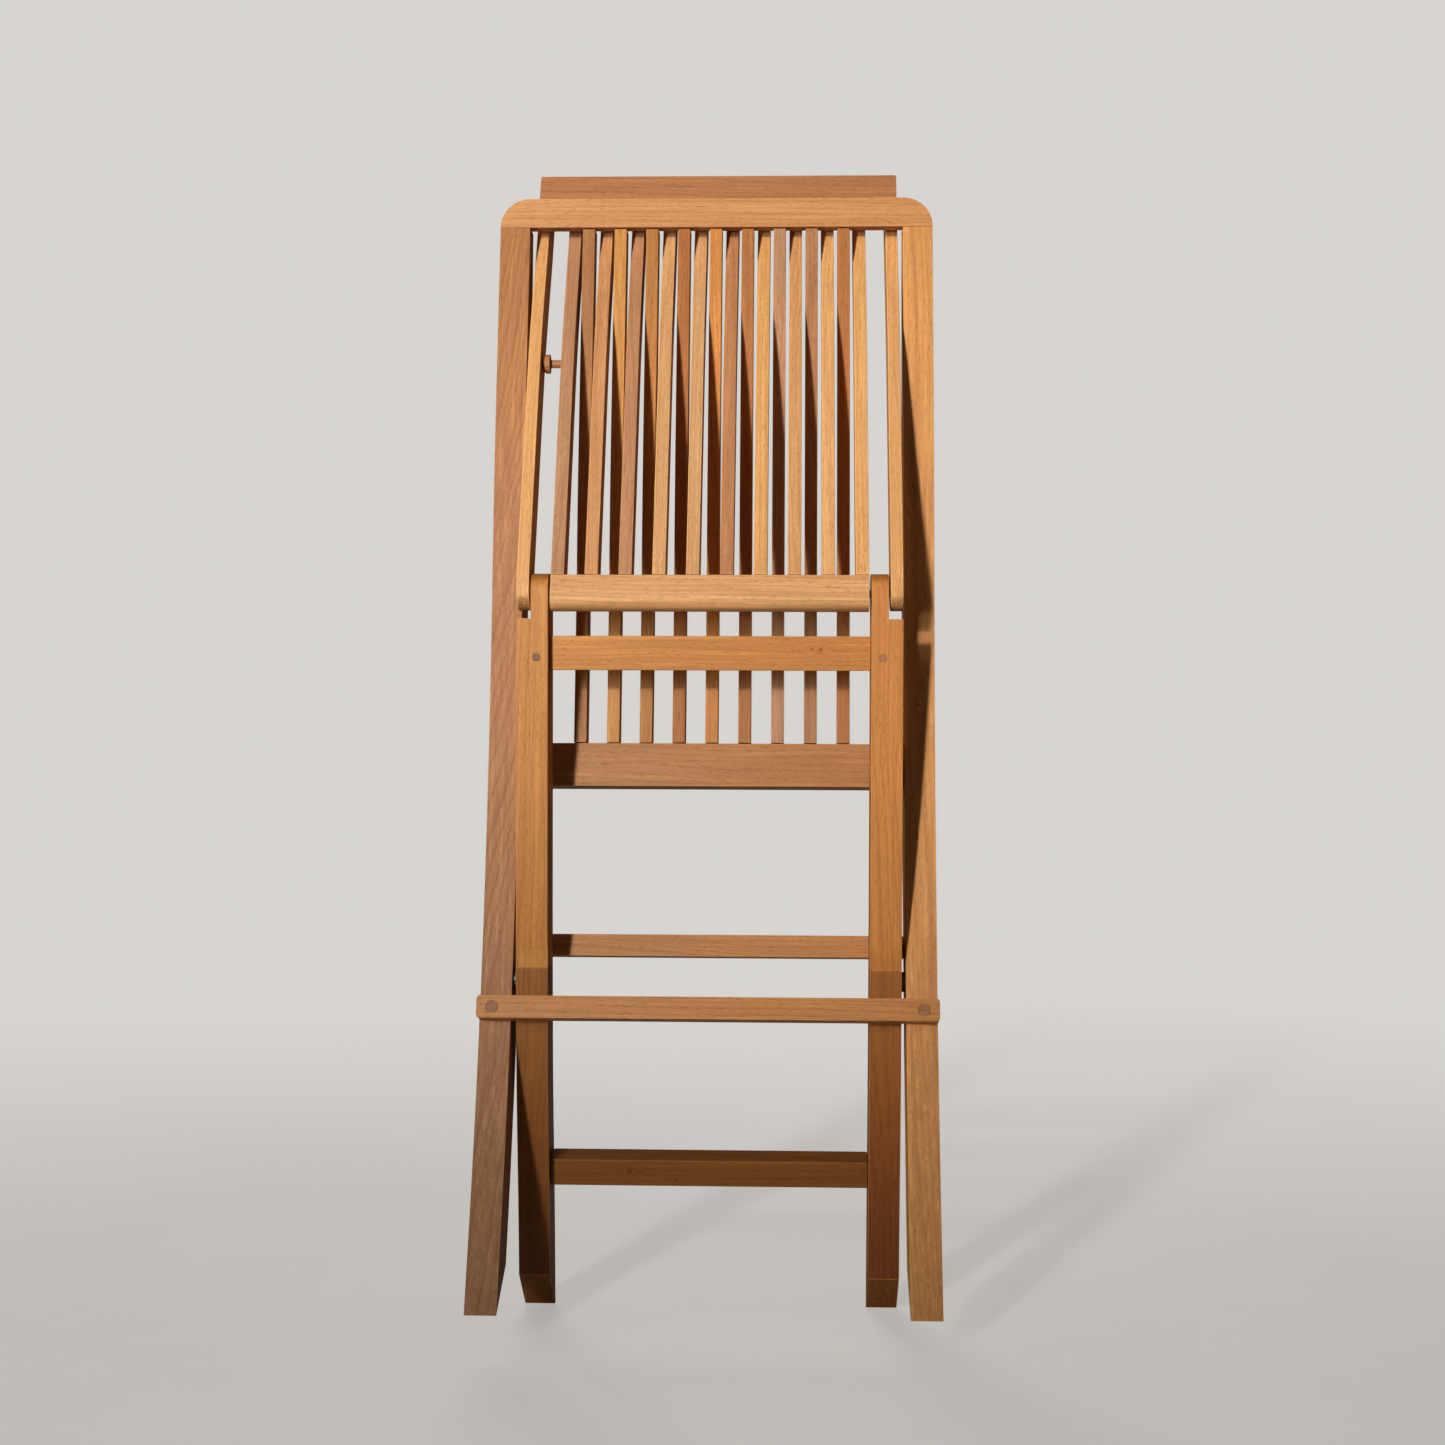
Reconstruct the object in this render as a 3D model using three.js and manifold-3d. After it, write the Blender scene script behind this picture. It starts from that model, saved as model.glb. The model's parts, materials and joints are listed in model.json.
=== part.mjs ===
// Folding slatted chair in oiled teak, folded flat and leaning back.
// Units are millimetres. +X is the sitter's left, -Y is the front, +Z is up.
// Side-view points are [u, v]: u towards the rear and v up, counted from the main pivot.
import * as THREE from 'three';
import { mergeVertices } from 'three/addons/utils/BufferGeometryUtils.js';
import Module from 'manifold-3d';

const wasm = await Module();
wasm.setup();

// ---- driving dimensions -------------------------------------------------------------
const GAP = 0.3;                   // left between two pieces that meet
const PIVOT = { y: -31.95, z: 309.8 };   // main pivot, where the two frames cross

const FRAME_WIDTH = 410;           // over the two stiles
const STILE = { width: 28, depth: 46, topDepth: 26, taper: 190, footCut: 25.1 };   // foot cuts in degrees
const TOP_RAIL = { height: 28.8, thickness: 17, corner: 27.5 };
const SLAT_PITCH = 30.3;           // back slats and seat slats interleave on this pitch
const BACK_SLAT = { count: 9, width: 11.7, depth: 22, recess: 4.5 };
const LOW_RAIL = { bottom: 175.4, height: 40, thickness: 23, recess: 5.5 };
const MID_STRETCHER = { bottom: 26.7, height: 20.2, thickness: 11.5, recess: 34 };
const FRONT_STRETCHER = {
  top: -15.5, height: 20, thickness: 18, overhang: 0.8, endRadius: 3, standOff: 0.6,
};
const PLUG = { radius: 5.4, depth: 6, inset: 13 };
const SCREW = { radius: 2.2, headRadius: 4.2, headHeight: 3, length: 34 };

const LEG_FRAME_WIDTH = 346;       // over the rear legs, and over the seat
const LEG = { width: 28.5, depth: 43, footCut: 39.4 };
// The leg's top is notched beside the seat's side rail and rounded at both corners.
const LEG_TOP = { width: 15.5, shoulder: 23, slope: 0.86, overPin: 17.3, front: 16, rear: 12 };
const STOP_HOUSING = { from: 12.5, to: 30.5, depth: 1.2 };
const LEG_TOP_RAIL = { bottom: 279.6, height: 30.8, thickness: 20, recess: 10 };
const LEG_STRETCHER = { bottom: -190.8, height: 24.5, thickness: 30, recess: 10 };
const DOWEL = { radius: 3.2, depth: 18, height: 291, inset: 10.5 };

const SEAT_PIVOT = [-10.5, 349];   // from the main pivot
const SIDE_RAIL = { width: 11.5, depth: 36, noseRadius: 15.5, straightFrom: 20 };
const SEAT_SLAT = { count: 10, width: 12, depth: 28 };
const FRONT_RAIL = { width: 285, height: 29.5, thickness: 25, nose: 10, belly: 12 };
const REAR_RAIL = { height: 36, thickness: 23, corner: 2 };
const PEG = { along: 253, headRadius: 9, headHeight: 7.5, stemRadius: 3.8 };

const MAIN_PIN = { radius: 3.9, hole: 4.3, washerRadius: 9, washerHole: 4.4 };
const SEAT_PIN = { radius: 3.4, hole: 3.8, intoRail: 24 };

// Front line of the stile: straight lower leg kicked forward, easing into the back,
// which curves away again at the top.
const STILE_LINE = [
  [-108.7, -275.6], [-56.7, -142.5], [-12.8, 0], [21, 152.6],
  [43.4, 305.1], [58.2, 457.7], [78.2, 591.2], [102, 731.8],
];
// Front line of the rear leg, from below its foot to above its top.
const LEG_LINE = [
  [17.2, -325], [6.7, -217], [-9.6, -104.9], [-17, 0], [-21.3, 119.2], [-25.4, 297.5], [-27.2, 372],
];
// Upper surface of the seat from its front edge to its rear edge, from the seat pivot.
const SEAT_LINE = [
  [-24.3, -11.3], [28.6, 127.3], [66.7, 226.9], [93.4, 282.2], [129.7, 347.5], [162.1, 416.7],
];

// ---- helpers ------------------------------------------------------------------------
const CURVE_STEPS = 96;            // samples from which every curved edge is read
const EDGE_STEPS = 18;             // straight steps along a curved edge
const ROUND_STEPS = 16;            // sides of a pin or hole
const group = new THREE.Group();

function wood(color, roughness = 0.62) {
  return new THREE.MeshStandardMaterial({ color, roughness, metalness: 0 });
}

const metal = () => new THREE.MeshStandardMaterial({ color: 0x8f8a80, roughness: 0.42, metalness: 1 });

function add(name, geometry, material, x = 0) {
  const mesh = new THREE.Mesh(geometry, material);
  mesh.name = name;
  mesh.position.x = x;
  group.add(mesh);
}

// The place between low and high where a test that holds at low stops holding.
function bisect(holds, low, high) {
  let [a, b] = [low, high];
  for (let i = 0; i < 50; i += 1) {
    const middle = (a + b) / 2;
    if (holds(middle)) a = middle;
    else b = middle;
  }
  return a;
}

// A smooth side-view line that can be read at any distance behind itself. `run` gives points
// along it, whose distance behind it may change evenly from the first to the last.
function sideLine(knots, origin = [0, 0]) {
  const points = knots.map(([u, v]) => new THREE.Vector2(u + origin[0], v + origin[1]));
  const curve = new THREE.SplineCurve(points);
  curve.arcLengthDivisions = CURVE_STEPS;
  const length = curve.getLength();
  const at = (s, behind = 0) => {
    const t = THREE.MathUtils.clamp(s / length, 0, 1);
    const tangent = curve.getTangentAt(t);
    const point = curve.getPointAt(t);
    const past = s - t * length;
    return new THREE.Vector2(
      point.x + tangent.x * past + tangent.y * behind,
      point.y + tangent.y * past - tangent.x * behind,
    );
  };
  const stationAt = (v, behind = 0) => bisect((s) => at(s, behind).y < v, -length, 2 * length);
  const run = (from, to, behind, finallyBehind = behind) => Array.from(
    { length: EDGE_STEPS + 1 },
    (_, i) => at(from + (to - from) * i / EDGE_STEPS, behind + (finallyBehind - behind) * i / EDGE_STEPS),
  );
  const directionAt = (s) => at(s + 1).sub(at(s)).normalize();
  return { length, at, stationAt, run, directionAt };
}

const stile = sideLine(STILE_LINE);
const leg = sideLine(LEG_LINE);
const seat = sideLine(SEAT_LINE, SEAT_PIVOT);

// A band of the side view between two distances behind a line.
function band(line, from, to, front, back) {
  return [...line.run(from, to, front), ...line.run(to, from, back)];
}

// Extrudes a side-view outline across the chair, from x = 0 to x = width.
function across(outline, width, holes = []) {
  const shape = new THREE.Shape(outline);
  for (const { centre, radius } of holes) {
    const path = new THREE.Path();
    const turn = (i) => (2 * Math.PI * i) / ROUND_STEPS;
    const rim = (i) => new THREE.Vector2(
      centre[0] + radius * Math.cos(turn(i)),
      centre[1] + radius * Math.sin(turn(i)),
    );
    path.setFromPoints(Array.from({ length: ROUND_STEPS }, (_, i) => rim(i)));
    shape.holes.push(path);
  }
  const geometry = new THREE.ExtrudeGeometry(shape, { depth: width, bevelEnabled: false });
  const basis = new THREE.Matrix4().makeBasis(
    new THREE.Vector3(0, 1, 0), new THREE.Vector3(0, 0, 1), new THREE.Vector3(1, 0, 0));
  return geometry.applyMatrix4(basis);
}

// Points round a corner of the side view, from one direction to another, in radians.
function corner(centre, radius, from, to, steps = 6) {
  return Array.from({ length: steps + 1 }, (_, i) => {
    const turn = from + (to - from) * i / steps;
    return new THREE.Vector2(Math.cos(turn), Math.sin(turn)).multiplyScalar(radius).add(centre);
  });
}

// The station where a straight cut through p, rising to the rear by an angle in degrees,
// meets a line at some distance behind it.
function cutStation(line, p, degrees, behind) {
  const slope = Math.tan(THREE.MathUtils.degToRad(degrees));
  const below = (s) => {
    const q = line.at(s, behind);
    return q.y - p.y < slope * (q.x - p.x);
  };
  return bisect(below, -line.length / 4, line.length / 2);
}

// ---- joining and cutting ------------------------------------------------------------
function toSolid(geometry) {
  const plain = geometry.index ? geometry.toNonIndexed() : geometry.clone();
  plain.deleteAttribute('normal');
  plain.deleteAttribute('uv');
  const merged = mergeVertices(plain, 1e-4);
  return new wasm.Manifold(new wasm.Mesh({
    numProp: 3,
    vertProperties: new Float32Array(merged.attributes.position.array),
    triVerts: new Uint32Array(merged.index.array),
  }));
}

function toGeometry(solid) {
  const mesh = solid.getMesh();
  const geometry = new THREE.BufferGeometry();
  geometry.setAttribute('position', new THREE.BufferAttribute(new Float32Array(mesh.vertProperties), 3));
  geometry.setIndex(new THREE.BufferAttribute(new Uint32Array(mesh.triVerts), 1));
  geometry.computeVertexNormals();
  return geometry;
}

function cut(geometry, ...tools) {
  return toGeometry(tools.reduce((solid, tool) => solid.subtract(toSolid(tool)), toSolid(geometry)));
}

// A cylinder from one point, along a direction.
function rod(start, direction, length, radius, steps = ROUND_STEPS) {
  const geometry = new THREE.CylinderGeometry(radius, radius, length, steps);
  geometry.translate(0, length / 2, 0);
  geometry.applyQuaternion(new THREE.Quaternion().setFromUnitVectors(
    new THREE.Vector3(0, 1, 0), direction.clone().normalize()));
  return geometry.translate(start.x, start.y, start.z);
}

// A turned piece: profile [radius, distance] from its start, along a direction.
function turned(profile, start, direction, steps = ROUND_STEPS) {
  const geometry = new THREE.LatheGeometry(profile.map(([r, y]) => new THREE.Vector2(r, y)), steps);
  geometry.applyQuaternion(new THREE.Quaternion().setFromUnitVectors(
    new THREE.Vector3(0, 1, 0), direction.clone().normalize()));
  return geometry.translate(start.x, start.y, start.z);
}

// ---- placing pieces on the frames and the seat ------------------------------------------
const sides = [['right', -1], ['left', 1]];

// From a front face towards the rear, square to a line.
function inward(line, s) {
  const d = line.directionAt(s);
  return new THREE.Vector3(0, d.y, -d.x);
}

function spot(x, { x: u, y: v }) {
  return new THREE.Vector3(x, u, v);
}

// A straight rail across the chair: its front outline [x, along the line], set `recess`
// behind the line at station s and running back square to the line unless told otherwise.
function panel(outline, line, s, recess, thickness, back = inward(line, s)) {
  const geometry = new THREE.ExtrudeGeometry(outline, {
    depth: thickness, bevelEnabled: false, curveSegments: 8,
  });
  const d = line.directionAt(s);
  const basis = new THREE.Matrix4().makeBasis(
    new THREE.Vector3(1, 0, 0), new THREE.Vector3(0, d.x, d.y), back.clone().negate());
  const origin = spot(0, line.at(s)).addScaledVector(back, recess + thickness);
  return geometry.applyMatrix4(basis).translate(origin.x, origin.y, origin.z);
}

// Front outline of a rail, from -width/2 to width/2 and 0 to height, with rounded corners.
function railOutline(width, height, upper = 0, lower = 0) {
  const w = width / 2;
  const shape = new THREE.Shape();
  shape.moveTo(-w + lower, 0).lineTo(w - lower, 0);
  if (lower) shape.absarc(w - lower, lower, lower, -Math.PI / 2, 0, false);
  shape.lineTo(w, height - upper);
  if (upper) shape.absarc(w - upper, height - upper, upper, 0, Math.PI / 2, false);
  shape.lineTo(-w + upper, height);
  if (upper) shape.absarc(-w + upper, height - upper, upper, Math.PI / 2, Math.PI, false);
  shape.lineTo(-w, lower);
  if (lower) shape.absarc(-w + lower, lower, lower, Math.PI, Math.PI * 1.5, false);
  return shape;
}

// ---- back frame: stiles, back and stretchers -------------------------------------------
const clearWidth = FRAME_WIDTH - 2 * STILE.width - 2 * GAP;
const topStation = stile.length - TOP_RAIL.height;
const topCut = stile.at(topStation - GAP).y;   // stiles and slats end level under the top rail
const lowRailStation = stile.stationAt(LOW_RAIL.bottom);
const stretcherTop = stile.stationAt(FRONT_STRETCHER.top);
const stretcherStation = stretcherTop - FRONT_STRETCHER.height;
const screwStation = stretcherTop - FRONT_STRETCHER.height / 2;
const screwX = FRAME_WIDTH / 2 - PLUG.inset;

function addStiles() {
  const heel = cutStation(stile, stile.at(0), STILE.footCut, STILE.depth);
  const taperEnd = topStation - STILE.taper;
  const outline = [
    ...stile.run(0, topStation - GAP, 0),
    ...stile.run(stile.stationAt(topCut, STILE.topDepth), taperEnd, STILE.topDepth, STILE.depth),
    ...stile.run(taperEnd, heel, STILE.depth).slice(1),
  ];
  const hole = { centre: [0, 0], radius: MAIN_PIN.hole };
  for (const [name, side] of sides) {
    const x = side < 0 ? -FRAME_WIDTH / 2 : FRAME_WIDTH / 2 - STILE.width;
    const blank = across(outline, STILE.width, [hole]).translate(x, 0, 0);
    const mouth = spot(side * screwX, stile.at(screwStation, -1));
    const bore = rod(mouth, inward(stile, screwStation), SCREW.length, SCREW.radius + GAP);
    add(`stile_${name}`, cut(blank, bore), wood(0xa9683a));
  }
}

function addBackRails() {
  const top = railOutline(FRAME_WIDTH, TOP_RAIL.height, TOP_RAIL.corner);
  const level = new THREE.Vector3(0, 1, 0);
  add('top_rail', panel(top, stile, topStation, 0, TOP_RAIL.thickness, level), wood(0xb8763f));

  const low = railOutline(clearWidth, LOW_RAIL.height);
  add('lower_back_rail', panel(
    low, stile, lowRailStation, LOW_RAIL.recess, LOW_RAIL.thickness), wood(0xa86a3f));

  const mid = railOutline(clearWidth, MID_STRETCHER.height);
  const midStation = stile.stationAt(MID_STRETCHER.bottom);
  add('mid_stretcher', panel(
    mid, stile, midStation, MID_STRETCHER.recess, MID_STRETCHER.thickness), wood(0xa1633a));
}

function addBackSlats() {
  const { count, width, depth, recess } = BACK_SLAT;
  const from = lowRailStation + LOW_RAIL.height + GAP;
  const outline = [
    ...stile.run(from, stile.stationAt(topCut, recess), recess),
    ...stile.run(stile.stationAt(topCut, recess + depth), from, recess + depth),
  ];
  for (let i = 0; i < count; i += 1) {
    const x = (i - (count - 1) / 2) * SLAT_PITCH;
    add(`back_slat_${i + 1}`, across(outline, width).translate(-width / 2, 0, 0), wood(0xb4733f), x);
  }
}

function addFrontStretcher() {
  const { height, thickness, overhang, endRadius, standOff } = FRONT_STRETCHER;
  const outline = railOutline(FRAME_WIDTH + 2 * overhang, height, endRadius, endRadius);
  const blank = panel(outline, stile, stretcherStation, -thickness - standOff, thickness);
  const back = inward(stile, screwStation);
  const face = stile.at(screwStation, -thickness - standOff);
  const bores = sides.flatMap(([, side]) => {
    const mouth = spot(side * screwX, face).addScaledVector(back, -1);
    return [
      rod(mouth, back, PLUG.depth + 1 + SCREW.headHeight + 2 * GAP, PLUG.radius + GAP),
      rod(mouth, back, thickness + 2, SCREW.radius + GAP),
    ];
  });
  add('front_stretcher', cut(blank, ...bores), wood(0xa9683c));
  for (const [name, side] of sides) {
    const start = spot(side * screwX, face);
    add(`stretcher_plug_${name}`, rod(start, back, PLUG.depth, PLUG.radius), wood(0xa0683c));
    const seatOfHead = start.clone().addScaledVector(back, PLUG.depth + GAP);
    const profile = [
      [0, 0], [SCREW.headRadius, 0], [SCREW.headRadius, SCREW.headHeight * 0.5],
      [SCREW.radius, SCREW.headHeight], [SCREW.radius, SCREW.length - 5], [0, SCREW.length],
    ];
    add(`stretcher_screw_${name}`, turned(profile, seatOfHead, back), metal());
  }
}

function addMainPivots() {
  const legSide = LEG_FRAME_WIDTH / 2;
  const reach = FRAME_WIDTH / 2 - (legSide - LEG.width);
  const space = FRAME_WIDTH / 2 - STILE.width - legSide - 2 * GAP;
  for (const [name, side] of sides) {
    const inwards = new THREE.Vector3(-side, 0, 0);
    const start = new THREE.Vector3(side * (FRAME_WIDTH / 2 - GAP), 0, 0);
    add(`main_pivot_pin_${name}`, rod(start, inwards, reach - 2 * GAP, MAIN_PIN.radius), metal());
    const ring = new THREE.Vector3(side * (legSide + GAP + space), 0, 0);
    add(`pivot_washer_${name}`, cut(
      rod(ring, inwards, space, MAIN_PIN.washerRadius),
      rod(ring.clone().addScaledVector(inwards, -1), inwards, space + 2, MAIN_PIN.washerHole),
    ), metal());
  }
}

// ---- rear leg frame ----------------------------------------------------------------------
const legInside = LEG_FRAME_WIDTH - 2 * LEG.width - 2 * GAP;
const pinCentre = new THREE.Vector2(...SEAT_PIVOT);

function legOutline() {
  const { overPin, front, rear } = LEG_TOP;
  const top = leg.stationAt(SEAT_PIVOT[1]);
  const up = leg.directionAt(top);
  const quarter = Math.PI / 2;
  const frontCentre = leg.at(top + overPin - front, front);
  const rearCentre = leg.at(top + overPin - rear, LEG.depth - rear);
  const heelStation = leg.stationAt(-PIVOT.z, LEG.depth);
  const toeStation = cutStation(leg, leg.at(heelStation, LEG.depth), -LEG.footCut, 0);
  return [
    ...leg.run(toeStation, top - 1, 0),
    ...corner(frontCentre, front, up.angle() + quarter, up.angle()),
    ...corner(rearCentre, rear, up.angle(), up.angle() - quarter),
    ...leg.run(top - 1, heelStation, LEG.depth),
  ];
}

function addLegs() {
  const outline = legOutline();
  const holes = [
    { centre: [0, 0], radius: MAIN_PIN.hole },
    { centre: SEAT_PIVOT, radius: SEAT_PIN.hole },
  ];
  const housing = band(
    leg, leg.stationAt(STOP_HOUSING.from), leg.stationAt(STOP_HOUSING.to), -2, STOP_HOUSING.depth);
  const shoulder = leg.stationAt(SEAT_PIVOT[1] - LEG_TOP.shoulder);
  const [ahead, behind, above] = [-20, LEG.depth + 20, shoulder + 90];
  const notch = [
    leg.at(shoulder - LEG_TOP.slope * ahead, ahead), leg.at(above, ahead),
    leg.at(above, behind), leg.at(shoulder - LEG_TOP.slope * behind, behind),
  ];
  const notchWidth = LEG.width - LEG_TOP.width;
  const dowelStation = leg.stationAt(DOWEL.height);
  for (const [name, side] of sides) {
    const outer = side * LEG_FRAME_WIDTH / 2;
    const x = side < 0 ? outer : outer - LEG.width;
    const notchX = side < 0 ? outer - 5 : outer - notchWidth;
    const dowelX = side * (LEG_FRAME_WIDTH / 2 - LEG.width + DOWEL.inset);
    const mouth = spot(dowelX, leg.at(dowelStation, -1));
    add(`rear_leg_${name}`, cut(
      across(outline, LEG.width, holes).translate(x, 0, 0),
      across(notch, notchWidth + 5).translate(notchX, 0, 0),
      across(housing, LEG.width + 2).translate(x - 1, 0, 0),
      rod(mouth, inward(leg, dowelStation), DOWEL.depth + 1 + GAP, DOWEL.radius + GAP),
    ), wood(0xb06f38));
    const start = spot(dowelX, leg.at(dowelStation));
    const dowel = rod(start, inward(leg, dowelStation), DOWEL.depth, DOWEL.radius);
    add(`joint_dowel_${name}`, dowel, wood(0x8a5a3c));
  }
}

function addLegRails() {
  for (const [name, rail, color] of [
    ['leg_top_rail', LEG_TOP_RAIL, 0xb9773f],
    ['leg_stretcher', LEG_STRETCHER, 0x9a5c33],
  ]) {
    const outline = railOutline(legInside, rail.height);
    add(name, panel(outline, leg, leg.stationAt(rail.bottom), rail.recess, rail.thickness), wood(color));
  }
}

// ---- seat ----------------------------------------------------------------------------------
const rearStation = seat.length - REAR_RAIL.height;
const slatEnd = rearStation - GAP;

function addSeatRails() {
  const centre = spot(0, pinCentre);
  const { width, height, thickness, nose, belly } = FRONT_RAIL;
  const turn = seat.directionAt(0).angle();
  const outline = [
    ...corner(seat.at(belly, thickness - belly), belly, turn - Math.PI / 2, turn - Math.PI),
    ...corner(seat.at(nose, nose), nose, turn - Math.PI, turn - Math.PI * 1.5),
    seat.at(height), seat.at(height, thickness),
  ];
  const blank = across(outline, width).translate(-width / 2, 0, 0);
  const bores = sides.map(([, side]) => rod(
    centre.clone().setX(side * (width / 2 + 1)),
    new THREE.Vector3(-side, 0, 0), SEAT_PIN.intoRail + 1 + GAP, SEAT_PIN.hole));
  add('seat_front_rail', cut(blank, ...bores), wood(0xb97d4c));

  const rear = railOutline(LEG_FRAME_WIDTH, REAR_RAIL.height, REAR_RAIL.corner);
  add('seat_rear_rail', panel(rear, seat, rearStation, 0, REAR_RAIL.thickness), wood(0xa4683a));
}

function addSeatSlats() {
  const { count, width, depth } = SEAT_SLAT;
  const outline = band(seat, FRONT_RAIL.height + GAP, slatEnd, 0, depth);
  for (let i = 0; i < count; i += 1) {
    const x = (i - (count - 1) / 2) * SLAT_PITCH;
    add(`seat_slat_${i + 1}`, across(outline, width).translate(-width / 2, 0, 0), wood(0xb4753f), x);
  }
}

function addSideRails() {
  const { width, depth, noseRadius, straightFrom } = SIDE_RAIL;
  const pinStation = seat.stationAt(SEAT_PIVOT[1]);
  const turn = seat.directionAt(pinStation).angle() - Math.PI / 2;
  const nose = corner(pinCentre, noseRadius, turn, turn - Math.PI, 8);
  const outline = [...nose, ...band(seat, pinStation + straightFrom, slatEnd, 0, depth)];
  const hole = { centre: SEAT_PIVOT, radius: SEAT_PIN.hole };
  for (const [name, side] of sides) {
    const x = side < 0 ? -LEG_FRAME_WIDTH / 2 : LEG_FRAME_WIDTH / 2 - width;
    add(`seat_side_rail_${name}`, across(outline, width, [hole]).translate(x, 0, 0), wood(0xbd7f49));
    const reach = LEG_FRAME_WIDTH / 2 - FRONT_RAIL.width / 2 + SEAT_PIN.intoRail - GAP;
    const start = spot(side * (LEG_FRAME_WIDTH / 2 - GAP), pinCentre);
    const inwards = new THREE.Vector3(-side, 0, 0);
    add(`seat_pivot_pin_${name}`, rod(start, inwards, reach, SEAT_PIN.radius), metal());
  }
}

// Turned mushroom peg on the outer side of the first slat, under the side rail.
function addPeg() {
  const slatSide = -((SEAT_SLAT.count - 1) / 2) * SLAT_PITCH - SEAT_SLAT.width / 2;
  const railSide = -LEG_FRAME_WIDTH / 2 + SIDE_RAIL.width;
  const reach = slatSide - railSide - 2 * GAP;
  const { headRadius: r, headHeight: h, stemRadius: stem } = PEG;
  const dome = Array.from({ length: 5 }, (_, i) => {
    const turn = (Math.PI / 2) * (i / 4);
    return [r * Math.sin(turn), h * 0.6 * (1 - Math.cos(turn))];
  });
  const profile = [...dome, [r, h], [stem, h], [stem, reach], [0, reach]];
  const start = spot(railSide + GAP, seat.at(PEG.along, SEAT_SLAT.depth / 2));
  add('peg', turned(profile, start, new THREE.Vector3(1, 0, 0)), wood(0xa86a3c));
}

addStiles();
addBackRails();
addBackSlats();
addFrontStretcher();
addMainPivots();
addLegs();
addLegRails();
addSeatRails();
addSeatSlats();
addSideRails();
addPeg();
group.position.set(0, PIVOT.y, PIVOT.z);

export default group;
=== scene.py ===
"""Looks of the folding slatted chair: boards of oiled teak with eased edges, pins of dull steel.

Lengths are in metres, in the frame of the CAD part, except where a comment says millimetres."""
import json
import math
from collections import namedtuple

import bmesh
import bpy
import numpy as np
from mathutils import Matrix, Vector


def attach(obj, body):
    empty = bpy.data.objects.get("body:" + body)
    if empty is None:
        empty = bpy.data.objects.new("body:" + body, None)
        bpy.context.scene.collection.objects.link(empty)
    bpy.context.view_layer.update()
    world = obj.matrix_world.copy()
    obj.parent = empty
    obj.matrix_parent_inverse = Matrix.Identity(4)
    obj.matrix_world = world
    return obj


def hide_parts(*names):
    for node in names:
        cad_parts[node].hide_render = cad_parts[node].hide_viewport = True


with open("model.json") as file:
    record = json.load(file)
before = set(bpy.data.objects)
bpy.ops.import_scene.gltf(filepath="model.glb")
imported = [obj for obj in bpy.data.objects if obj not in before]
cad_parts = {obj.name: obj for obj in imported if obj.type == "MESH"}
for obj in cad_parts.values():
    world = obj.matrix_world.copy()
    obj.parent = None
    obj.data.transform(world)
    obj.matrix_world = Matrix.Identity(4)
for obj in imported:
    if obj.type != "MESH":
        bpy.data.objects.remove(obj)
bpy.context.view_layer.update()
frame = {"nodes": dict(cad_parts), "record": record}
nodes = frame["nodes"]
record = frame["record"]
body_of = {n: body for body, members in record["behaviour"]["bodies"].items() for n in members}
slot_of = {s["node"]: s["material_slot"] for s in record["subparts"]}

MM = 0.001
SIDES = ("right", "left")

# Bores that keep their sharp rims: node -> [(the rod that fills the bore, radius in mm)].
BORES = {"front_stretcher": [(f"stretcher_screw_{s}", 6.4) for s in SIDES],
         "seat_front_rail": [(f"seat_pivot_pin_{s}", 4.6) for s in SIDES]}
for s in SIDES:
    BORES[f"stile_{s}"] = [(f"main_pivot_pin_{s}", 5.0), (f"stretcher_screw_{s}", 3.4)]
    BORES[f"rear_leg_{s}"] = [(f"main_pivot_pin_{s}", 5.0), (f"seat_pivot_pin_{s}", 4.6),
                              (f"joint_dowel_{s}", 4.2)]
    BORES[f"seat_side_rail_{s}"] = [(f"seat_pivot_pin_{s}", 4.6)]

# Which edges of a board are eased, and how.
WELD = 2e-6
FLAT = math.radians(0.25)          # faces that meet at less than this are one face
EASED_FROM = math.radians(32)      # the bluntest edge that is eased
SHARP_FROM = math.radians(34)      # the bluntest edge that is shaded as an edge
CHIP_AREA = 40e-6                  # an edge shorter than CHIP_EDGE of a face smaller than
CHIP_EDGE = 6 * MM                 # CHIP_AREA keeps its shape
EASING_STEPS = 3


def long_axis(node):
    """Centre and direction of a node's longest extent."""
    co = np.array([v.co for v in nodes[node].data.vertices], float)
    centre = (co.min(0) + co.max(0)) / 2
    direction = np.linalg.svd(co - co.mean(0), full_matrices=False)[2][0]
    level = abs(direction[2]) <= 0.1
    if direction[2] < -0.1 or (level and direction.sum() < 0):
        direction = -direction
    return Vector(centre), Vector(direction)


def off_axis(point, centre, direction):
    """Distance of a point from an axis."""
    d = point - centre
    return (d - direction * d.dot(direction)).length


# ---- shapes ---------------------------------------------------------------------------
def takes_easing(edge, bores):
    """Whether an edge is one that a hand would rub, and not a rim of one of the bores."""
    if len(edge.link_faces) != 2 or not edge.is_convex:
        return False
    if edge.calc_face_angle(0) < EASED_FROM:
        return False
    for centre, direction, radius in bores:
        if max(off_axis(v.co, centre, direction) for v in edge.verts) < radius:
            return False
    area = min(f.calc_area() for f in edge.link_faces)
    return area >= CHIP_AREA or edge.calc_length() >= CHIP_EDGE


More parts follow.
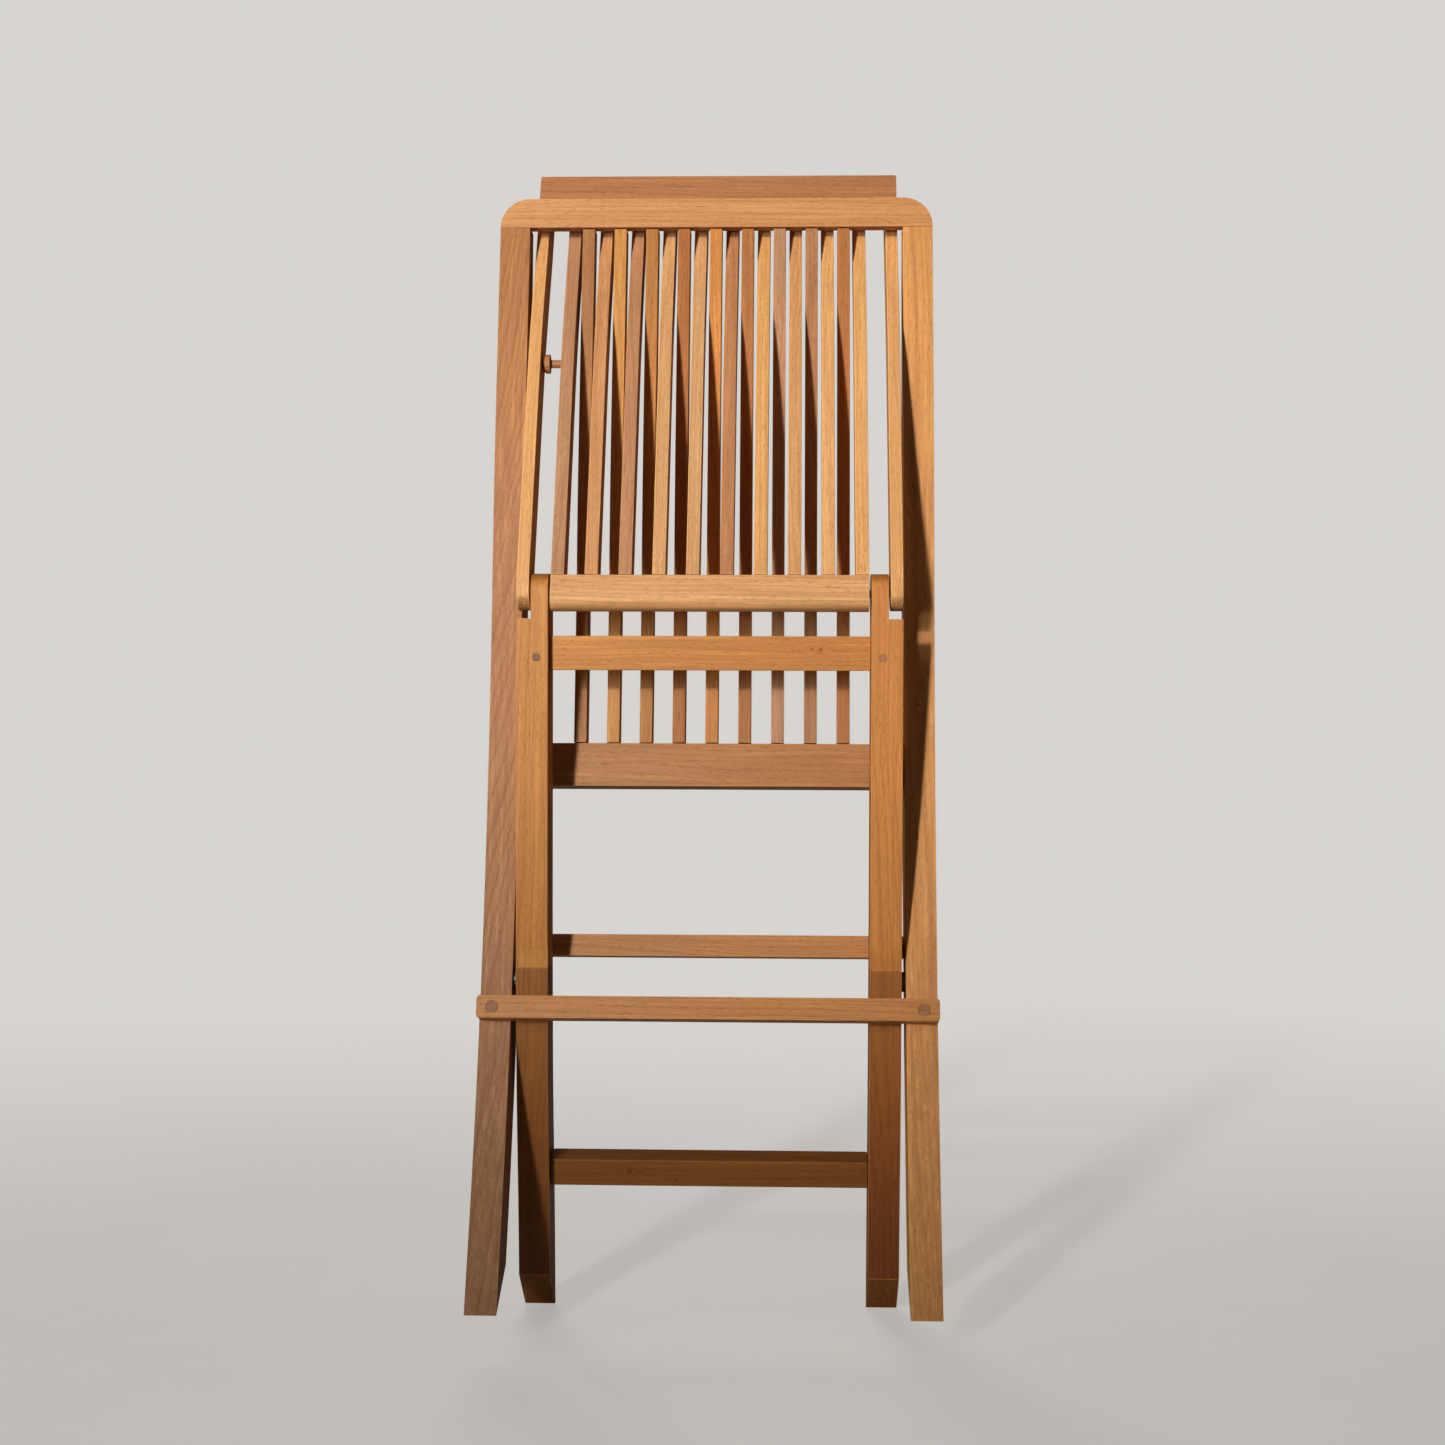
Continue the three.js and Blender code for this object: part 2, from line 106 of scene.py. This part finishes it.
def eased(node, ease):
    """The node's board with its edges eased by a radius in mm and the bores left sharp."""
    bm = bmesh.new()
    bm.from_mesh(nodes[node].data)
    bmesh.ops.remove_doubles(bm, verts=bm.verts, dist=WELD)
    bmesh.ops.dissolve_limit(bm, angle_limit=FLAT, verts=bm.verts, edges=bm.edges, delimit=set())
    bores = [(*long_axis(rod), radius * MM) for rod, radius in BORES.get(node, [])]
    bm.edges.ensure_lookup_table()
    chosen = [edge for edge in bm.edges if takes_easing(edge, bores)]
    made = bmesh.ops.bevel(bm, geom=chosen, offset=ease * MM, segments=EASING_STEPS,
                           profile=0.5, affect="EDGES", clamp_overlap=True, loop_slide=True)
    # Marks the eased faces, which the teak paints paler: partly rubbed wear, partly a painted
    # highlight.
    wear_and_highlight = bm.loops.layers.float.new("wear_and_highlight")
    for face in made["faces"]:
        for loop in face.loops:
            loop[wear_and_highlight] = 1.0
    for face in bm.faces:
        face.smooth = True
    for edge in bm.edges:
        edge.smooth = len(edge.link_faces) == 2 and edge.calc_face_angle(0) < SHARP_FROM
    mesh = bpy.data.meshes.new(f"{node}_board")
    bm.to_mesh(mesh)
    bm.free()
    return mesh


def wear(mesh, material):
    """Give a mesh one material in place of all it has."""
    mesh.materials.clear()
    mesh.materials.append(material)


def place(name, mesh, node, material):
    """A finished piece that stands for a CAD node and moves with its body."""
    obj = bpy.data.objects.new(name, mesh)
    bpy.context.scene.collection.objects.link(obj)
    wear(mesh, material)
    normals = obj.modifiers.new("face normals", "WEIGHTED_NORMAL")
    normals.keep_sharp = True
    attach(obj, body_of[node])
    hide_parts(node)


# ---- materials ------------------------------------------------------------------------
class Graph:
    """Short names for adding and joining shader nodes."""

    def __init__(self, name):
        self.material = bpy.data.materials.new(name)
        self.material.use_nodes = True
        self.tree = self.material.node_tree
        self.shader = self.find("BSDF_PRINCIPLED")

    def find(self, kind):
        return next(n for n in self.tree.nodes if n.type == kind)

    def feed(self, socket, value):
        """Link a socket to another one, or set it to a constant."""
        if isinstance(value, bpy.types.NodeSocket):
            self.tree.links.new(value, socket)
        else:
            socket.default_value = value

    def node(self, kind, values=None, **settings):
        n = self.tree.nodes.new(kind)
        for key, value in settings.items():
            setattr(n, key, value)
        for key, value in (values or {}).items():
            self.feed(n.inputs[key], value)
        return n

    def math(self, operation, a, b=0.0, clamp=False):
        return self.node("ShaderNodeMath", {0: a, 1: b},
                         operation=operation, use_clamp=clamp).outputs[0]

    def scaled(self, vector, scale):
        return self.node("ShaderNodeMapping", {"Vector": vector, "Scale": scale}).outputs[0]

    def split(self, vector):
        return self.node("ShaderNodeSeparateXYZ", {"Vector": vector}).outputs

    def noise(self, vector, detail=2.0, roughness=0.5):
        return self.node("ShaderNodeTexNoise", {
            "Vector": vector, "Scale": 1.0, "Detail": detail,
            "Roughness": roughness}).outputs["Fac"]

    def ramp(self, factor, stops):
        """Grey levels at positions from 0 to 1."""
        n = self.node("ShaderNodeValToRGB", {"Fac": factor})
        elements = n.color_ramp.elements
        while len(elements) < len(stops):
            elements.new(0.5)
        for element, (position, level) in zip(elements, stops):
            element.position = position
            element.color = (level, level, level, 1)
        return n.outputs["Color"]

    def span(self, value, low, high, to_low=0.0, to_high=1.0):
        return self.node("ShaderNodeMapRange", {
            "Value": value, "From Min": low, "From Max": high,
            "To Min": to_low, "To Max": to_high}).outputs[0]

    def mix(self, factor, a, b, blend="MIX"):
        n = self.node("ShaderNodeMix", data_type="RGBA", blend_type=blend, clamp_factor=True)
        for key, value in ((0, factor), (6, a), (7, b)):
            self.feed(n.inputs[key], (*value, 1) if isinstance(value, tuple) else value)
        return n.outputs[2]

    def relief(self, height, strength, distance):
        """Bump the surface by a height from 0 to 1, distance deep."""
        bump = self.node("ShaderNodeBump", {
            "Height": height, "Strength": strength, "Distance": distance})
        self.feed(self.shader.inputs["Normal"], bump.outputs[0])


# Noise frequencies of teak per mm: two across the grain, then one along it.
WARP = (0.02, 0.02, 0.0040)
CLOUD = (0.018, 0.018, 0.0035)
STREAK = (0.30, 0.30, 0.006)
FIBRE = (1.5, 1.5, 0.03)
PORE = (1.5, 1.5, 0.15)
SAW_MARK = (0.5, 0.5, 0.5)

# The paler and darker shades of a board, as factors on its tone.
LIGHT_TINT = (1.26, 1.30, 1.34)
DARK_TINT = (0.72, 0.62, 0.55)
DEEP_TINT = (0.40, 0.27, 0.20)
SAWN_TINT = 0.45                   # on the deep shade

# How dark a growth ring is across its width, and how each layer shows at a contrast of 1.
RING_LINE = [(0.0, 1.0), (0.05, 0.34), (0.2, 0.04), (0.6, 0.10), (0.88, 0.40), (1.0, 1.0)]
RING_SHOWS, FINE_RING_SHOWS = 0.33, 0.17
DARK_STREAK_SHOWS, PALE_STREAK_SHOWS, FIBRE_SHOWS = 0.60, 0.55, 0.45
PORE_SHOWS, KNOT_SHOWS, SAWN_SHOWS = 0.50, 0.75, 0.80      # at any contrast
FINE_RINGS = 3.7                   # fine rings to one ring

LOG_TURN = 0.6                     # radians by which a board may be turned in its log
LOG_REACH = 4000.0                 # mm by which it may be shifted
WARP_DEPTH = 26.0                  # mm


def tinted(color, tint):
    return tuple(min(1.0, c * k) for c, k in zip(color, tint))


def grain_space(g, here, along, rng):
    """Coordinates in mm with Z along the grain, in a stretch of the log of the board's own."""
    across = Vector((0, 1, 0)).cross(along).normalized()
    grain_axes = Matrix((across, along.cross(across), along)).to_4x4()
    turn = Matrix.Rotation(rng.uniform(-LOG_TURN, LOG_TURN), 4, "Z") @ grain_axes
    return g.node("ShaderNodeMapping", {
        "Vector": here, "Rotation": turn.to_euler(),
        "Location": tuple(rng.uniform(-LOG_REACH, LOG_REACH, 3))}, vector_type="POINT").outputs[0]


def knot_swell(g, here, depth, knots):
    """The depth in the log, swollen around each knot, and how much of each point is knot."""
    x, _, z = g.split(here)
    knot_eye = None
    for knot_x, knot_z, radius in knots:
        off = g.node("ShaderNodeCombineXYZ", {
            "X": g.math("SUBTRACT", x, knot_x), "Y": g.math("SUBTRACT", z, knot_z)}).outputs[0]
        away = g.node("ShaderNodeVectorMath", {0: off}, operation="LENGTH").outputs["Value"]
        swell = g.math("EXPONENT", g.math("MULTIPLY", away, -0.5 / radius))
        depth = g.math("ADD", depth, g.math("MULTIPLY", swell, 4.0 * radius))
        spot = g.span(away, 1.1 * radius, 0.5 * radius)
        knot_eye = spot if knot_eye is None else g.math("MAXIMUM", knot_eye, spot)
    return depth, knot_eye


def growth_rings(g, depth, rings):
    """Darkness of the rings and of the fine rings between them, at a depth in mm in the log."""
    phase = g.math("MULTIPLY", depth, 1.0 / rings)
    slow = g.node("ShaderNodeCombineXYZ", {"X": g.math("MULTIPLY", phase, 0.37)}).outputs[0]
    uneven = g.noise(slow, detail=1.0)
    phase = g.math("ADD", phase, g.math("MULTIPLY", uneven, 3.0))
    late = g.ramp(g.math("FRACT", phase), RING_LINE)
    fine = g.ramp(g.math("FRACT", g.math("MULTIPLY", phase, FINE_RINGS)), RING_LINE)
    return late, fine


def teak(name, tone, seed, along, rings, slant, contrast, shades=(), knots=()):
    """Oiled teak.

    tone: base colour, on some boards partly painted shade. along: direction of the grain. rings:
    ring width in mm.
    slant: how fast the rings run out along the board. contrast: strength of the figure.
    Each shade multiplies the colour over a part of the board.
    Each knot is (x, z, radius) in mm on the front of the board."""
    rng = np.random.default_rng(seed)
    g = Graph(name)
    coords = g.node("ShaderNodeTexCoord")
    here = g.scaled(coords.outputs["Object"], (1000, 1000, 1000))
    grain = grain_space(g, here, along, rng)

    # growth rings: depth in the log, warped slowly along the board
    warp = g.noise(g.scaled(grain, WARP), 1.0, 0.4)
    tilt = float(rng.choice((-1, 1))) * slant * float(rng.uniform(0.6, 1.3))
    grain_x, _, grain_z = g.split(grain)
    depth = g.math("ADD", g.math("ADD", grain_x, g.math("MULTIPLY", grain_z, tilt)),
                   g.math("MULTIPLY", warp, WARP_DEPTH))
    depth, knot_eye = knot_swell(g, here, depth, knots)
    late, fine = growth_rings(g, depth, rings)

    # clouds, streaks, fibres and pores, drawn out along the grain
    cloud = g.noise(g.scaled(grain, CLOUD), 2.0, 0.5)
    streak = g.noise(g.scaled(grain, STREAK), 3.0, 0.6)
    fibre = g.noise(g.scaled(grain, FIBRE), 4.0, 0.66)
    pore_noise = g.noise(g.scaled(grain, PORE), 1.0, 0.4)
    pores = g.span(g.math("ADD", pore_noise, g.math("MULTIPLY", late, 0.06)), 0.60, 0.71)

    light, dark, deep = (tinted(tone, tint) for tint in (LIGHT_TINT, DARK_TINT, DEEP_TINT))
    color = g.mix(g.span(cloud, 0.33, 0.67, 0.15, 0.75), dark, light)
    color = g.mix(0.5, color, tone)
    color = g.mix(g.span(streak, 0.40, 0.66, 0.0, DARK_STREAK_SHOWS * contrast), color, dark)
    color = g.mix(g.span(streak, 0.44, 0.30, 0.0, PALE_STREAK_SHOWS * contrast), color, light)
    color = g.mix(g.span(fibre, 0.36, 0.68, 0.0, FIBRE_SHOWS * contrast), color, dark)
    color = g.mix(g.math("MULTIPLY", fine, FINE_RING_SHOWS * contrast), color, dark)
    color = g.mix(g.math("MULTIPLY", late, RING_SHOWS * contrast), color, deep)
    color = g.mix(g.math("MULTIPLY", pores, PORE_SHOWS), color, deep)
    if knot_eye is not None:
        color = g.mix(g.math("MULTIPLY", knot_eye, KNOT_SHOWS), color, deep)
    for shade in shades:
        at = g.split(here)[shade.axis]
        within = g.math("MULTIPLY", g.span(at, shade.starts, shade.full_from),
                        g.span(at, shade.full_to, shade.ends, to_low=1.0, to_high=0.0))
        color = g.mix(within, color, shade.tint, "MULTIPLY")

    # sawn ends are darker and rougher; eased edges a little paler, partly as rubbed wear and
    # partly as a painted highlight
    facing = g.node("ShaderNodeVectorMath", {0: coords.outputs["Normal"], 1: tuple(along)},
                    operation="DOT_PRODUCT").outputs["Value"]
    end = g.span(g.math("ABSOLUTE", facing), 0.52, 0.74)
    saw = g.noise(g.scaled(here, SAW_MARK), 5.0, 0.7)
    sawn = g.mix(g.span(saw, 0.35, 0.62), tuple(c * SAWN_TINT for c in deep), dark)
    color = g.mix(g.math("MULTIPLY", end, SAWN_SHOWS), color, sawn)
    # Eased edges paler: partly rubbed wear, partly a painted highlight.
    wear_and_highlight = g.node("ShaderNodeAttribute", attribute_name="wear_and_highlight").outputs["Fac"]
    color = g.mix(g.math("MULTIPLY", wear_and_highlight, g.span(streak, 0.3, 0.7, 0.25, 0.6)), color, light)
    g.feed(g.shader.inputs["Base Color"], color)

    rough = g.span(g.math("ADD", fibre, g.math("MULTIPLY", pores, 0.4)), 0.3, 1.0, 0.42, 0.64)
    rough = g.math("ADD", rough, g.math("MULTIPLY", end, 0.2), clamp=True)
    g.feed(g.shader.inputs["Roughness"], rough)
    g.shader.inputs["Specular IOR Level"].default_value = 0.3
    height = g.math("ADD", g.math("MULTIPLY", fibre, 0.6), g.math("MULTIPLY", pores, -0.9))
    height = g.math("ADD", height, g.math("MULTIPLY", late, -0.3))
    height = g.math("ADD", height, g.math("MULTIPLY", end, saw))
    g.relief(height, 0.3, 0.3 * MM)
    return g.material


def dull_steel(name):
    g = Graph(name)
    at = g.node("ShaderNodeTexCoord").outputs["Object"]
    scuff = g.noise(g.scaled(at, (300, 900, 900)), 4.0, 0.6)
    color = g.mix(g.span(scuff, 0.3, 0.7), (0.10, 0.095, 0.085), (0.20, 0.19, 0.17))
    g.feed(g.shader.inputs["Base Color"], color)
    g.feed(g.shader.inputs["Roughness"], g.span(scuff, 0.3, 0.8, 0.5, 0.7))
    g.shader.inputs["Metallic"].default_value = 1.0
    g.relief(scuff, 0.1, 0.1 * MM)
    return g.material


# ---- the boards -----------------------------------------------------------------------
# Base colour of each board, partly painted shade: a board that lies in shade has a darker tone
# that stands in for that shade, most of all leg_stretcher and stile_right. A board's place in
# this table is also its draw from the log.
TONES = {
    "stile_right": (0.467, 0.203, 0.057),
    "stile_left": (0.703, 0.335, 0.103),
    "top_rail": (0.589, 0.28, 0.097),
    "lower_back_rail": (0.47, 0.209, 0.063),
    "mid_stretcher": (0.574, 0.261, 0.078),
    "front_stretcher": (0.618, 0.277, 0.079),
    "rear_leg_right": (0.59, 0.255, 0.052),
    "rear_leg_left": (0.647, 0.266, 0.059),
    "leg_top_rail": (0.588, 0.248, 0.053),
    "leg_stretcher": (0.291, 0.109, 0.017),
    "seat_front_rail": (0.719, 0.395, 0.17),
    "seat_rear_rail": (0.452, 0.201, 0.083),
    "seat_side_rail_right": (0.772, 0.413, 0.158),
    "seat_side_rail_left": (0.772, 0.413, 0.158),
    "back_slat_1": (0.389, 0.169, 0.047),
    "back_slat_2": (0.587, 0.273, 0.06),
    "back_slat_3": (0.468, 0.194, 0.035),
    "back_slat_4": (0.416, 0.149, 0.027),
    "back_slat_5": (0.603, 0.245, 0.048),
    "back_slat_6": (0.423, 0.161, 0.039),
    "back_slat_7": (0.473, 0.242, 0.119),
    "back_slat_8": (0.411, 0.191, 0.071),
    "back_slat_9": (0.458, 0.176, 0.042),
    "seat_slat_1": (0.517, 0.273, 0.143),
    "seat_slat_2": (0.627, 0.313, 0.133),
    "seat_slat_3": (0.535, 0.272, 0.134),
    "seat_slat_4": (0.709, 0.399, 0.172),
    "seat_slat_5": (0.683, 0.386, 0.171),
    "seat_slat_6": (0.541, 0.247, 0.108),
    "seat_slat_7": (0.762, 0.404, 0.141),
    "seat_slat_8": (0.67, 0.351, 0.137),
    "seat_slat_9": (0.773, 0.428, 0.166),
    "seat_slat_10": (0.788, 0.425, 0.158),
}

# ring width in mm, how fast the rings run out, strength of the figure, eased radius in mm
Figure = namedtuple("Figure", "rings slant contrast ease")
SLAT_FIGURE = Figure(4.2, 0.018, 0.95, 0.8)
FIGURES = {
    "stile_right": Figure(6.5, 0.14, 1.5, 1.3),
    "stile_left": Figure(6.5, 0.035, 1.0, 1.3),
    "top_rail": Figure(6.0, 0.02, 0.9, 1.6),
    "lower_back_rail": Figure(5.5, 0.03, 0.9, 1.1),
    "mid_stretcher": Figure(4.0, 0.02, 1.0, 0.9),
    "front_stretcher": Figure(5.0, 0.02, 0.9, 1.1),
    "rear_leg_right": Figure(6.0, 0.03, 1.0, 1.1),
    "rear_leg_left": Figure(6.5, 0.035, 1.0, 1.1),
    "leg_top_rail": Figure(6.0, 0.03, 1.0, 1.2),
    "leg_stretcher": Figure(6.0, 0.03, 1.1, 1.3),
    "seat_front_rail": Figure(5.5, 0.03, 1.1, 1.2),
    "seat_rear_rail": Figure(5.0, 0.02, 0.9, 1.1),
    "seat_side_rail_right": Figure(5.0, 0.02, 0.8, 1.0),
    "seat_side_rail_left": Figure(5.0, 0.02, 0.8, 1.0),
}

# Coordinates in mm along one axis where a shade starts, is full, is still full, and ends.
Shade = namedtuple("Shade", "axis starts full_from full_to ends tint")
X, Z = 0, 2
RUNS_ON = (-5000.0, -5001.0)       # still full, and ends, beyond the end of any board
HOUSING = (322.0, 322.8, 332.0, 343.0)

# A band at each stop housing, lighter on rear_leg_right and darker on rear_leg_left, over a
# darker, redder lower leg; painted shade that darkens the rear legs further towards the feet, for
# the dimmer light near the floor; a greyer, bluer foot on stile_right; paler sapwood at the inner
# edge of stile_left.
LOWER_LEG = Shade(Z, 322.8, 321.8, *RUNS_ON, (0.60, 0.53, 0.48))
# Painted shade: the rear legs darken towards the feet, for the dimmer light near the floor.
LEG_FOOT_PAINTED_SHADE = Shade(Z, 260.0, 60.0, *RUNS_ON, (0.62, 0.52, 0.42))
SHADES = {
    "rear_leg_right": [Shade(Z, *HOUSING, (1.04, 1.15, 1.25)), LOWER_LEG, LEG_FOOT_PAINTED_SHADE],
    "rear_leg_left": [Shade(Z, *HOUSING, (0.90, 0.86, 0.84)), LOWER_LEG, LEG_FOOT_PAINTED_SHADE],
    "stile_right": [Shade(Z, 560.0, 160.0, *RUNS_ON, (0.92, 1.02, 1.36))],
    "stile_left": [Shade(X, 181.0, 179.5, *RUNS_ON, (1.15, 1.20, 1.20))],
}

# (x, z, radius) of each knot in mm
KNOTS = {
    "leg_top_rail": [(92.0, 609.0, 1.8), (99.5, 608.5, 2.4)],
    "stile_left": [(190.0, 560.0, 2.2)],
    "leg_stretcher": [(-72.0, 134.0, 3.0), (-30.0, 127.0, 1.8)],
}
FIRST_BOARD_SEED = 11

for seed, (node, tone) in enumerate(TONES.items(), FIRST_BOARD_SEED):
    figure = FIGURES.get(node, SLAT_FIGURE)
    _, along = long_axis(node)
    material = teak(f"teak_{node}", tone, seed, along, figure.rings, figure.slant,
                    figure.contrast, SHADES.get(node, ()), KNOTS.get(node, ()))
    place(node + "_board", eased(node, figure.ease), node, material)

# ---- the small pieces, which keep their CAD meshes ------------------------------------
SMALL_TONES = {
    "stretcher_plug_right": (0.38, 0.17, 0.075),
    "stretcher_plug_left": (0.38, 0.17, 0.075),
    "joint_dowel_right": (0.22, 0.095, 0.055),
    "joint_dowel_left": (0.42, 0.19, 0.08),
    "peg": (0.45, 0.20, 0.07),
}
SMALL_FIGURE = Figure(1.6, 0.1, 0.8, None)
FIRST_SMALL_SEED = 60

for seed, (node, tone) in enumerate(SMALL_TONES.items(), FIRST_SMALL_SEED):
    wear(nodes[node].data, teak(f"teak_{node}", tone, seed, Vector((1, 0, 0)),
                                SMALL_FIGURE.rings, SMALL_FIGURE.slant, SMALL_FIGURE.contrast))
steel = dull_steel("dull_steel")
for node, slot in slot_of.items():
    if slot == "pin_steel":
        wear(nodes[node].data, steel)

# ---- studio ---------------------------------------------------------------------------
PALE = (0.80, 0.78, 0.75)          # what the camera sees of the floor and the backdrop
FLOOR_GLOW, BACKDROP_GLOW = 0.48, 0.85
FLOOR_SHADES = (0.52, 0.51, 0.50), (0.57, 0.56, 0.545)
ROOM_LIGHT, ROOM_STRENGTH = (1.0, 0.90, 0.76), 0.045
DAYLIGHT, BOUNCE, SKYLIGHT = (1.0, 0.97, 0.92), (1.0, 0.88, 0.72), (1.0, 0.98, 0.95)

scene = bpy.context.scene


def studio_floor(radius, solid):
    """A round pale floor, solid out to one radius and fading away to the other."""
    bpy.ops.mesh.primitive_circle_add(vertices=96, radius=radius, fill_type="NGON",
                                      location=(0, 0, 0))
    floor = bpy.context.active_object
    floor.name = "floor"
    g = Graph("pale_floor")
    at = g.node("ShaderNodeTexCoord").outputs["Object"]
    speck = g.noise(g.scaled(at, (3, 3, 3)), 4.0, 0.6)
    g.feed(g.shader.inputs["Base Color"], g.mix(g.span(speck, 0.3, 0.7), *FLOOR_SHADES))
    g.shader.inputs["Roughness"].default_value = 0.7
    g.shader.inputs["Emission Color"].default_value = (*PALE, 1)
    camera_ray = g.node("ShaderNodeLightPath").outputs["Is Camera Ray"]
    g.feed(g.shader.inputs["Emission Strength"], g.math("MULTIPLY", camera_ray, FLOOR_GLOW))
    length = g.node("ShaderNodeVectorMath", {0: at}, operation="LENGTH").outputs["Value"]
    fade = g.span(length, solid, radius, to_low=1.0, to_high=0.0)
    clear = g.node("ShaderNodeBsdfTransparent").outputs[0]
    blend = g.node("ShaderNodeMixShader", {0: fade, 1: clear, 2: g.shader.outputs[0]})
    g.feed(g.find("OUTPUT_MATERIAL").inputs["Surface"], blend.outputs[0])
    floor.data.materials.append(g.material)


def light_object(name, kind, at, target, power, color, in_reflections=True):
    light = bpy.data.lights.new(name, kind)
    light.energy, light.color = power, color
    obj = bpy.data.objects.new(name, light)
    obj.location = at
    obj.rotation_euler = (Vector(target) - Vector(at)).to_track_quat("-Z", "Y").to_euler()
    obj.visible_camera = False
    obj.visible_glossy = in_reflections
    scene.collection.objects.link(obj)
    return light


def area_light(name, at, target, width, height, power, color, spread=180.0,
               in_reflections=True):
    light = light_object(name, "AREA", at, target, power, color, in_reflections)
    light.shape, light.size, light.size_y = "RECTANGLE", width, height
    light.spread = math.radians(spread)


def spot_light(name, at, target, cone, radius, power, color):
    light = light_object(name, "SPOT", at, target, power, color)
    light.spot_size, light.spot_blend = math.radians(cone), 1.0
    light.shadow_soft_size = radius


def background(tree, color, strength):
    n = tree.nodes.new("ShaderNodeBackground")
    n.inputs["Color"].default_value = (*color, 1)
    n.inputs["Strength"].default_value = strength
    return n.outputs[0]


def studio_world():
    """A dim room that lights the chair, and a pale backdrop that only the camera sees."""
    world = bpy.data.worlds.new("studio")
    world.use_nodes = True
    tree = world.node_tree
    tree.nodes.clear()
    out = tree.nodes.new("ShaderNodeOutputWorld")
    mix = tree.nodes.new("ShaderNodeMixShader")
    path = tree.nodes.new("ShaderNodeLightPath")
    tree.links.new(path.outputs["Is Camera Ray"], mix.inputs[0])
    tree.links.new(background(tree, ROOM_LIGHT, ROOM_STRENGTH), mix.inputs[1])
    tree.links.new(background(tree, PALE, BACKDROP_GLOW), mix.inputs[2])
    tree.links.new(mix.outputs[0], out.inputs["Surface"])
    scene.world = world


studio_floor(radius=2.4, solid=0.7)
spot_light("key", at=(-1.75, -4.50, 1.85), target=(0.0, 0.0, 1.06),
           cone=25.0, radius=0.14, power=620, color=DAYLIGHT)
area_light("window", at=(-1.30, -3.34, 1.80), target=(0.0, 0.0, 1.95),
           width=0.25, height=2.8, power=23, color=DAYLIGHT, spread=75.0)
area_light("fill", at=(1.4, -2.4, 1.3), target=(0.0, 0.0, 0.55),
           width=1.6, height=1.6, power=2.0, color=BOUNCE)
area_light("back", at=(-0.9, 3.4, 1.9), target=(0.0, 0.0, 0.55),
           width=1.8, height=1.8, power=48, color=SKYLIGHT, in_reflections=False)
studio_world()
scene.view_settings.view_transform = "Standard"

# ---- camera: level, turned a little to the left and rolled by a fraction of a degree ------
CAMERA_AT = (0.0763, -1.9737, 0.5430)
TURNED_LEFT, ROLLED = math.radians(1.918), math.radians(0.22)

lens = bpy.data.cameras.new("camera")
lens.sensor_width, lens.lens = 36.0, 53.56
lens.clip_end = 50
camera = bpy.data.objects.new("camera", lens)
camera.matrix_world = (
    Matrix.Translation(CAMERA_AT)
    @ Matrix.Rotation(TURNED_LEFT, 4, "Z")
    @ Matrix.Rotation(math.radians(90), 4, "X")
    @ Matrix.Rotation(ROLLED, 4, "Z")
)
scene.collection.objects.link(camera)
scene.camera = camera
